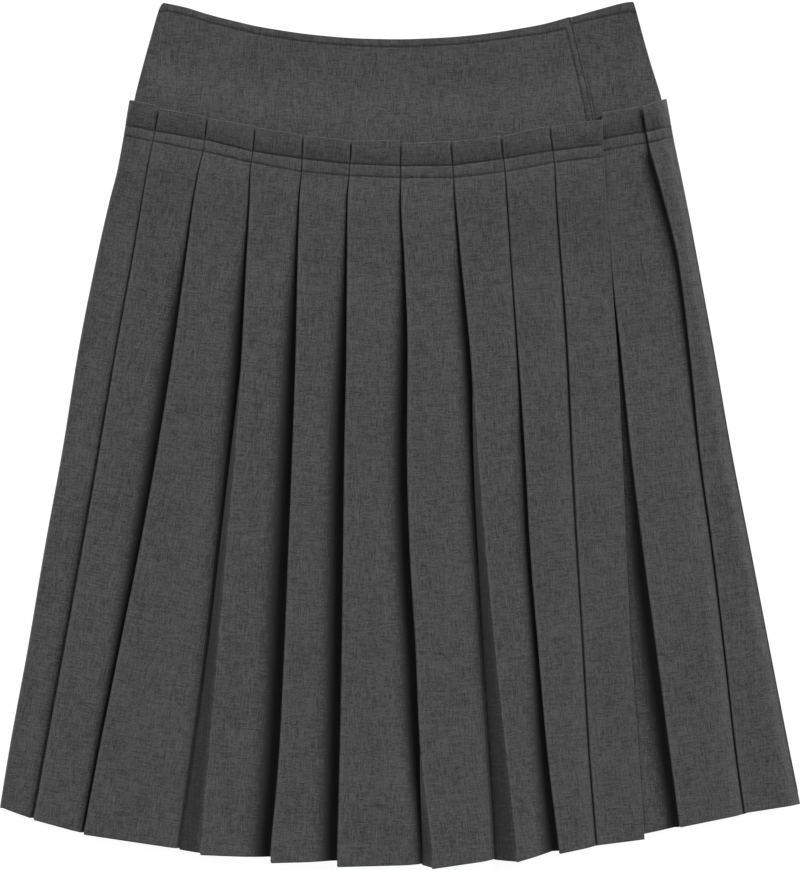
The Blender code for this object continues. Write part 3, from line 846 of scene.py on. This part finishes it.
Panel = namedtuple("Panel", "start folds end edge_offset edge_height last_height crease detail")


def arc(x, z):
    """Length along a section up to each of its points."""
    return np.concatenate([[0.0], np.cumsum(np.hypot(np.diff(x), np.diff(z)))])


def tucked_lower(row):
    """How much lower the cloth under a pleat lies than the pleat, so that its edges don't show."""
    lower = {FRILL: FRILL_TUCK * (1 - row.share), SKIRT: HEM_TUCK * row.share**4}
    return lower.get(row.stretch, 0.0)


def opened(row):
    """How far the gaps have opened: hardly in the frill, and fully a little below the stitching."""
    below = {BELOW: BELOW_STITCHES * row.share, SKIRT: math.inf}.get(row.stretch, 0.0)
    return GAP_IN_FRILL + (1 - GAP_IN_FRILL) * smooth(below / GAP_OPENS_OVER)


def painted_gap_shade(row, line, wide, open_share):
    """The painted shade down the gap at a line."""
    if row.stretch == FRILL:
        return GAP_PAINTED_SHADE * line.deep
    return mix(mix(NARROW_GAP_PAINTED_SHADE, GAP_PAINTED_SHADE, wide), OPEN_GAP_PAINTED_SHADE, open_share) * line.deep


def panel_row(panel, row):
    """One cross section of a pleated panel: x, drop, height above its floor, distance across the
    cloth, the ridge that it is measured from, and painted shade. Also the first and last place of each
    face."""
    detail = panel.detail
    parts, faces, count = [], [], 0

    def add(x, z, drop, across, ridge_x, dark=0.0):
        nonlocal count
        flat = np.zeros(len(x))
        parts.append(np.stack([x, drop + flat, z, across, ridge_x + flat, dark + flat]))
        count += len(x)

    _, drop = row_drops(panel.start, row)
    edge_x = line_x(drop, panel.start.x) + panel.edge_offset
    height = panel.edge_height(drop)
    add(edge_x + EDGE_INWARD, height * EDGE_RISES, drop, EDGE_INWARD, edge_x)
    ridge_x, top_x, fold_end, ridge_across = edge_x, edge_x + EDGE_INWARD[-1], -math.inf, 0.0
    share = np.linspace(0, 1, detail.face + 1)[1:]
    share = share - FACE_CROWDED * np.sin(2 * math.pi * share)
    lines = [*panel.folds, panel.end]
    for number, line in enumerate(lines):
        last_face = number == len(panel.folds)
        before, after = row_drops(line, row)
        ridge = float(line_x(after, line.x))
        if last_face:
            face_end, end_height, roll = ridge, panel.last_height(after), LAST_ROLL
            face_share = np.concatenate([share[:-1] * 0.97, [0.985, 1.0]])
        else:
            lift, tuck, slot = (
                float(curve(after, FORM_STATIONS, part)) for part in (line.lift, line.tuck, line.slot)
            )
            slot *= opened(row)
            open_share = float(smooth(-tuck / OPEN_TUCK))
            wide = float(smooth((slot - NARROW_SLOT) / SLOT_WIDENS))
            painted_shade_in_gap = painted_gap_shade(row, line, wide, open_share)
            inner_x = ridge + tuck
            free = (1 - row.share) * (row.stretch == FRILL)
            face_end = min(ridge, inner_x) - GAP_LEAST - GAP_OPENS * slot - FRILL_GAP * free
            end_height = height * (FACE_END - FACE_FALLS * slot)
            roll = ROLL_LEAST + ROLL_GROWS * slot
            face_share = share
        face_x = mix(top_x, face_end, face_share)
        rolled = np.clip(1 - (face_end - face_x) / roll, 0, 1) ** ROLL_CURVE
        face_z = mix(height, end_height, FACE_SLOPE * face_share + (1 - FACE_SLOPE) * rolled)
        from_ridge = face_x - top_x
        if number:
            face_z -= panel.crease * (1 - np.exp(-((from_ridge / CREASE_SPREAD) ** 2))) * (1 - face_share)
        held = 2 * PLY * (1 - smooth((face_x - fold_end - BEND) / HELD_FADE))
        face_z = np.maximum(face_z, np.minimum(held, 2 * PLY))
        lead = arc(np.concatenate([[top_x], face_x]), np.concatenate([[height], face_z]))[1:]
        start_across = ridge_across + (top_x - ridge_x if number == 0 else 0.0)
        faces.append((count - 1, count + len(face_x) - 1))
        # Painted shade darkens the end of a face as it rolls into a wide gap.
        dark = 0.0
        if not last_face:
            dark = painted_shade_in_gap * wide * (1 - 0.5 * open_share) * rolled**ROLL_FADE
        add(face_x, face_z, mix(drop, before, face_share), start_across + lead, ridge_x, dark)
        if last_face:
            break
        ridge_height = 2 * PLY + lift
        gap, rise = fold(face_end, face_z[-1], ridge, ridge_height, inner_x, detail)
        lead = arc(
            np.concatenate([[face_x[-1]], gap[0]]), np.concatenate([[face_z[-1]], gap[1]])
        )[1:] + start_across + lead[-1]
        ahead, _ = row_drops(lines[number + 1], row)
        slant = (ahead - after) / (float(line_x(ahead, lines[number + 1].x)) - ridge)
        under, lower = after + slant * (gap[0] - ridge), tucked_lower(row)
        entered = np.minimum(np.arange(1, len(under) + 1) / 2, 1.0)
        if row.stretch == SKIRT:
            entered = np.clip((gap[0] - ridge) / HEM_STEP_RUN, 0, 1)
        under = mix(under + lower, before, open_share)
        # Painted shade down the gap.
        add(*gap, mix(before, under, entered), lead, ridge_x, painted_shade_in_gap)
        ridge_across = PANEL_PITCH * (number + 1)
        back = arc(*rise)
        risen = np.linspace(0, 1, len(back))
        level = after + slant * (rise[0] - ridge) * (1 - risen) + lower * (1 - risen**3)
        level = mix(level, mix(before, after, risen), open_share)
        fade = mix(RISE_FADE, OPEN_RISE_FADE, open_share)
        # Painted shade up the return of the fold, fading out towards the ridge.
        dark = mix(painted_shade_in_gap, RETURN_PAINTED_SHADE, open_share) * (1 - risen**fade)
        add(*rise, level, ridge_across + back - back[-1], ridge, dark)
        drop, ridge_x, top_x, height, fold_end = after, ridge, rise[0][-1], ridge_height, inner_x
    return np.concatenate(parts, axis=1), faces


def stitch_distances(row):
    """How far a row of the mesh is from each row of stitching, about."""
    from_frill = {
        FRILL: row.share * FRILL_HEIGHT,
        STITCHED: FRILL_HEIGHT + row.share * STITCH_ROWS_APART,
        BELOW: FRILL_HEIGHT + STITCH_ROWS_APART + row.share * BELOW_STITCHES,
        SKIRT: FRILL_HEIGHT + STITCH_ROWS_APART + BELOW_STITCHES + row.share * SKIRT_LENGTH,
    }[row.stretch]
    return from_frill - FRILL_HEIGHT, from_frill - FRILL_HEIGHT - STITCH_ROWS_APART


def pressing(row, puff):
    """What the stitching does to a row: the share of its height that is left, how far its faces
    stand out above it, and its painted shade, with a painted highlight at the frill's top edge."""
    first, second = stitch_distances(row)
    outside = max(-first, second, 0.0)
    left = 1 - PRESS_FLAT * math.exp(-((outside / PRESS_REACH) ** 2))
    left -= SEAM_FLAT * sum(math.exp(-((away / SEAM_REACH) ** 2)) for away in (first, second))
    out = puff * (1 - math.exp(-max(-first, 0.0) / PUFF_REACH))
    between_rows = math.pi * np.clip(first / STITCH_ROWS_APART, 0, 1)
    out += PUFF_BETWEEN * puff * max(math.sin(between_rows), 0.0)
    out -= SEAM_GROOVE * sum(math.exp(-((away / SEAM_GROOVE_REACH) ** 2)) for away in (first, second))
    # Painted shade along the rows of stitching.
    shade = SEAM_PAINTED_SHADE * float(painted_seam_shade(first, second))
    # A painted highlight along the frill's top edge.
    if row.stretch == FRILL:
        shade -= FRILL_RIM_PAINTED_HIGHLIGHT * math.exp(-row.share * FRILL_HEIGHT / FRILL_RIM)
    return left, out, shade


def panel_grid(panel, rows, puff):
    """x, drop, height, across and along of a panel's points, and their painted shade and painted
    highlight.
    """
    sections = []
    for row in rows:
        points, faces = panel_row(panel, row)
        left, out, shade = pressing(row, puff)
        top = np.clip((points[2] - PUFF_FROM) / PLY, 0, 1)
        points[2] = points[2] * left + out * top
        points[5] += shade
        sections.append(points)
    x, drop, height, across, ridge_x, shade = np.stack(sections, axis=1)
    # A painted highlight along each ridge.
    shade -= RIDGE_PAINTED_HIGHLIGHT * np.exp(-(((x - ridge_x) / RIDGE_SPREAD) ** 2))
    lean = np.gradient(ridge_x, axis=0) / np.maximum(np.gradient(drop, axis=0), 1e-6)
    along = drop + np.clip(lean, -0.5, 0.5) * (x - ridge_x)
    return x, drop, height, across, along, shade, faces


def panel_rows(frill, below, skirt):
    """Rows of a panel's mesh, closer together at the stitching and at both edges."""
    close = (0.45, 0.9, 1.5, 2.4)
    rows = [Row(FRILL, share) for share in (0.0, 0.025, 0.07)]
    rows += [Row(FRILL, share) for share in np.linspace(0.14, 1 - close[-1] / FRILL_HEIGHT, frill)]
    rows += [Row(FRILL, 1 - away / FRILL_HEIGHT) for away in close[-2::-1]]
    rows += [Row(STITCHED, away / STITCH_ROWS_APART) for away in (0.0, *close)]
    rows += [Row(STITCHED, 0.5)]
    rows += [Row(STITCHED, 1 - away / STITCH_ROWS_APART) for away in close[::-1]]
    rows += [Row(BELOW, away / BELOW_STITCHES) for away in (0.0, *close)]
    rows += [Row(BELOW, share) for share in np.linspace(0.12, 0.94, below)]
    rows += [Row(SKIRT, share) for share in np.linspace(0, 0.985, skirt)]
    rows += [Row(SKIRT, share) for share in (0.9935, 0.9975, 1.0)]
    return rows


def stitch_places(rows):
    return [i for i, row in enumerate(rows) if row.stretch in (STITCHED, BELOW) and row.share == 0.0]


def back_line(share, tuck=(0,) * 5, slot=(0,) * 5):
    """A line of the back as seen from behind, at a share of its width."""
    x = [mix(-right, -left, share) for left, right in zip(SIDE_LEFT_X, SIDE_RIGHT_X)]
    seam_x = mix(-SEAM_HALF_WIDTH, SEAM_HALF_WIDTH, share)
    frill, stitch_1, stitch_2 = (value + BACK_SEAM_LOWER for value in seam_drops(seam_x))
    hem = arch(mix(-HEM_HALF_WIDTH, HEM_HALF_WIDTH, share), *BACK_HEM_DROPS, HEM_HALF_WIDTH)
    return Line(x, frill, 0.0, stitch_1, stitch_2, hem, 0.0, slot, (0,) * 5, tuck)


def flat_height(drop):
    """The height of a side that lies flat, at every drop."""
    return 2 * PLY


back_shares = np.linspace(BACK_FIRST_FOLD, BACK_LAST_FOLD, BACK_FOLDS)
back_folds = [back_line(share, (22, 22, 22, 24, 24), (1.5,) * 5) for share in back_shares[:-1]]
back_folds.append(back_line(back_shares[-1], (6, 8, 8, 10, 10), (1.5,) * 5))
back_panel = Panel(
    back_line(0.0), back_folds, back_line(1.0), 0.0, flat_height, flat_height, 0.0, PLAIN
)
x, drop, z, across, along, shade, faces = panel_grid(back_panel, panel_rows(3, 3, 30), 0.0)
x, z = -x, CAD_CLOTH / 2 + 2 * PLY - z
x, drop, z, across, along, shade = (part[:, ::-1] for part in (x, drop, z, across, along, shade))
back_pleats, skin = cloth_piece(
    "back_pleats", x, drop, z, across, along, shade, wool_inside
)

# The underlap's pleats: the panel that comes round from the right side, with two knife pleats that
# show. It is sewn over its yoke like the rest, and runs on 45 mm under the front's wrap edge.
WRAP_X = (153.5, 154.5, 155.5, 156.5, 160, 165, 169, 172, 175.5, 181.5, 186.5)
SEAM_FADE = 70.0
YOKE_EDGE_CLEAR = 3.0
FRILL_PUFF = 2.7
UNDERLAP_LIFT = (0, 1.5, 2.6, 3.4, 3.4)

SIDE_LEFT = Line(SIDE_LEFT_X, 75.0, 0, 94.5, 102.0, 613.5, 0)
SIDE_RIGHT = Line(SIDE_RIGHT_X, 73.5, 0, 94.5, 102.5, 610.5, 0)
WRAP_EDGE = Line(WRAP_X, 90.0, 0, 109.0, 118.0, 637.0, 0)
UNDERLAP_START = Line(WRAP_X, 96.0, 0, 114.0, 123.5, 642.0, 0)
UNDERLAP_FOLDS = (
    Line(
        (153.6, 153.8, 154.5, 155.6, 160.2, 168, 175.5, 184.5, 194.5, 205, 215),
        84.5, -6.5, 104.5, 113.5, 627.5, -0.5,
        (0.3, 2.6, 3.6, 8, 6), (0, 2, 6, 9.5, 8), (26, 26, 24, 24, 24),
    ),
    Line(
        (185, 190, 195, 200.5, 211.5, 220.5, 228, 238, 247, 256, 266.5),
        80.0, 0, 99.0, 107.5, 617.0, -1.0,
        (5.5, 4.4, 3.4, 3, 2.6), (3.6, 3.2, 2.6, 2.2, 2), (8, 9, 11, 15, 18),
    ),
)


def sewn(x, drop):
    """1 where the pleats are sewn over the yoke, fading out below the yoke's lower edge."""
    return 1 - smooth((drop - lower_edge(x) - YOKE_EDGE_CLEAR) / SEAM_FADE)


def underlap_level(x, drop):
    """The floor of the underlap's pleats: on the back, and on the yoke where that is sewn in."""
    room = np.minimum(x - line_x(drop, SIDE_LEFT_X), line_x(drop, SIDE_RIGHT_X) - x)
    on_back = CAD_CLOTH / 2 + PLY * (1 + 2 * smooth(room / SIDE_ROLL))
    return on_back + 2 * (PLY + YOKE_EASE) * sewn(x, drop)


def nothing(drop):
    """The height of a side that is tucked down, at every drop."""
    return 0.0


def underlap_height(drop):
    return float(curve(drop, FORM_STATIONS, UNDERLAP_LIFT))


def face_paths(skin, faces, rows):
    """The stretches of both rows of stitching, one for each face."""
    return [skin[row, first + 1 : last + 1] for row in stitch_places(rows) for first, last in faces]


rows = panel_rows(8, 8, 78)
underlap_panel = Panel(
    UNDERLAP_START, UNDERLAP_FOLDS, SIDE_RIGHT, -UNDERLAP_REACH, underlap_height, nothing, 0.25, FINE
)
x, drop, height, across, along, shade, faces = panel_grid(underlap_panel, rows, FRILL_PUFF)
z = height + underlap_level(x, drop)
z += 0.22 * ripple(x, drop, 45.0, 8.0) * np.clip(height / (2 * PLY), 0, 1)
underlap_pleats, skin = cloth_piece(
    "underlap_pleats", x, drop, z, across + 500, along, shade, wool
)
seam = sew("underlap_pleats_stitches", face_paths(skin, faces, rows), thread)

# The front's pleats: one wide panel folded into nine knife pleats that all lie to the left. Two rows
# of stitching hold them to the front yoke, their heads stand free above as a frill, and below they
# fan out, with the ridges standing up and some of the pleats open at the hem.
FRONT_FOLDS = (
    Line(
        (-183, -188.5, -192, -195.5, -203, -215.5, -228, -241, -254.5, -269, -282.5),
        81.5, 2.3, 98.5, 106.5, 622.5, 1.5,
        (0.6, 3, 4, 5, 5), (0, 1.5, 2.4, 3, 3), (20, 22, 22, 22, 22), 0.35,
    ),
    Line(
        (-145, -149, -153, -156.5, -162.5, -172, -184, -197.5, -212.5, -228.5, -242.5),
        89.0, 1.4, 105.0, 114.0, 633.5, 1.5,
        (0.9, 6, 6.5, 5, 3.5), (0, 6, 6, 6, 4), (27, 27, 28, 28, 28),
    ),
    Line(
        (-108, -111, -113.5, -114, -116.5, -120, -125.5, -132, -138.5, -145.5, -152),
        96.0, 1.4, 114.0, 122.5, 648.5, 4.5,
        (0.9, 6.5, 6, 4.5, 2.6), (0, 7, 9, 9.5, 10), (27, 1.5, -2.4, -7, -15.5),
    ),
    Line(
        (-71.5, -73.5, -74.5, -76, -77.5, -79, -81.5, -84.5, -87.5, -91.5, -98),
        102.0, 0.5, 119.5, 129.5, 654.5, 4.0,
        (0.9, 7, 8.5, 10.5, 10.5), (0, 8, 10, 11, 11), (27, 25, 22, 20, 19),
    ),
    Line(
        (-35, -36.5, -38, -39.5, -40, -40.5, -42, -43, -44, -45.5, -47.5),
        106.0, 0.3, 123.5, 132.5, 657.5, 4.0,
        (0.9, 6.5, 8.5, 9.5, 10), (0, 8, 10, 11, 11), (27, 26, 24, 22, 21),
    ),
    Line(
        (0.9, 1.5, 1, 1, 3.5, 6, 5.5, 7.5, 12, 15.5, 24),
        108.0, 2.3, 125.0, 134.0, 659.0, 3.0,
        (0.9, 6.5, 8, 8.5, 5), (0, 8, 10, 11, 11), (27, 24, 20, 8, -7),
    ),
    Line(
        (39, 40, 41, 42.5, 46.5, 53.5, 58.5, 64.5, 71.5, 80, 88),
        106.5, 0.2, 124.5, 134.0, 654.0, 1.5,
        (0.9, 6, 6, 5.5, 3.5), (0, 7, 8.5, 9.5, 10), (27, 2.5, -2.4, -8, -15.5),
    ),
    Line(
        (77, 78.5, 80.5, 82, 85, 90, 95, 99, 105, 112, 121),
        102.5, 0.3, 119.5, 129.5, 647.5, 1.5,
        (0.9, 2.5, 5, 5.5, 9), (0, 3, 5, 6.5, 9), (27, 26, 24, 22, 18),
    ),
    Line(
        (113.5, 116.5, 118.5, 119.5, 123, 128, 131.5, 135.5, 140, 144.5, 150.5),
        95.0, 0.4, 113.5, 122.5, 641.5, -0.5,
        (0.9, 2.8, 3, 2.8, 3), (0, 1.8, 2.2, 2, 2), (26, 24, 22, 22, 22),
    ),
)
PANEL_FADE_AHEAD = 8.0
SIDE_LIFT = (0.5, 1.5, 2, 2, 2)
WRAP_LIFT = (2.0, 3.4, 3.4, 3.9, 3.9)
WRAP_CROSSING = 190.0
WRAP_CROSSING_LIFT = 3.8
WRAP_CROSSING_LENGTH = 60.0


def front_level(x, drop):
    """The floor of the front's pleats."""
    edge = line_x(drop, WRAP_X) - UNDERLAP_REACH - PANEL_FADE_AHEAD
    return underlap_level(x, drop) + over_underlap(x, edge) * (PLY + (PLY + YOKE_EASE) * sewn(x, drop))


def side_height(drop):
    return PLY + float(curve(drop, FORM_STATIONS, SIDE_LIFT))


def wrap_height(drop):
    crossing = float(smooth(1 - abs(drop - WRAP_CROSSING) / WRAP_CROSSING_LENGTH))
    return max(float(curve(drop, FORM_STATIONS, WRAP_LIFT)), WRAP_CROSSING_LIFT * crossing)


front_panel = Panel(
    SIDE_LEFT, FRONT_FOLDS, WRAP_EDGE, 0.0, side_height, wrap_height, 0.25, FINE
)
x, drop, height, across, along, shade, faces = panel_grid(front_panel, rows, FRILL_PUFF)
z = height + front_level(x, drop)
z += 0.3 * ripple(x, drop, 45.0, 2.0) * np.clip(height / (2 * PLY), 0, 1)
front_pleats, skin = cloth_piece("front_pleats", x, drop, z, across, along, shade, wool)
seam = sew("front_pleats_stitches", face_paths(skin, faces, rows), thread)
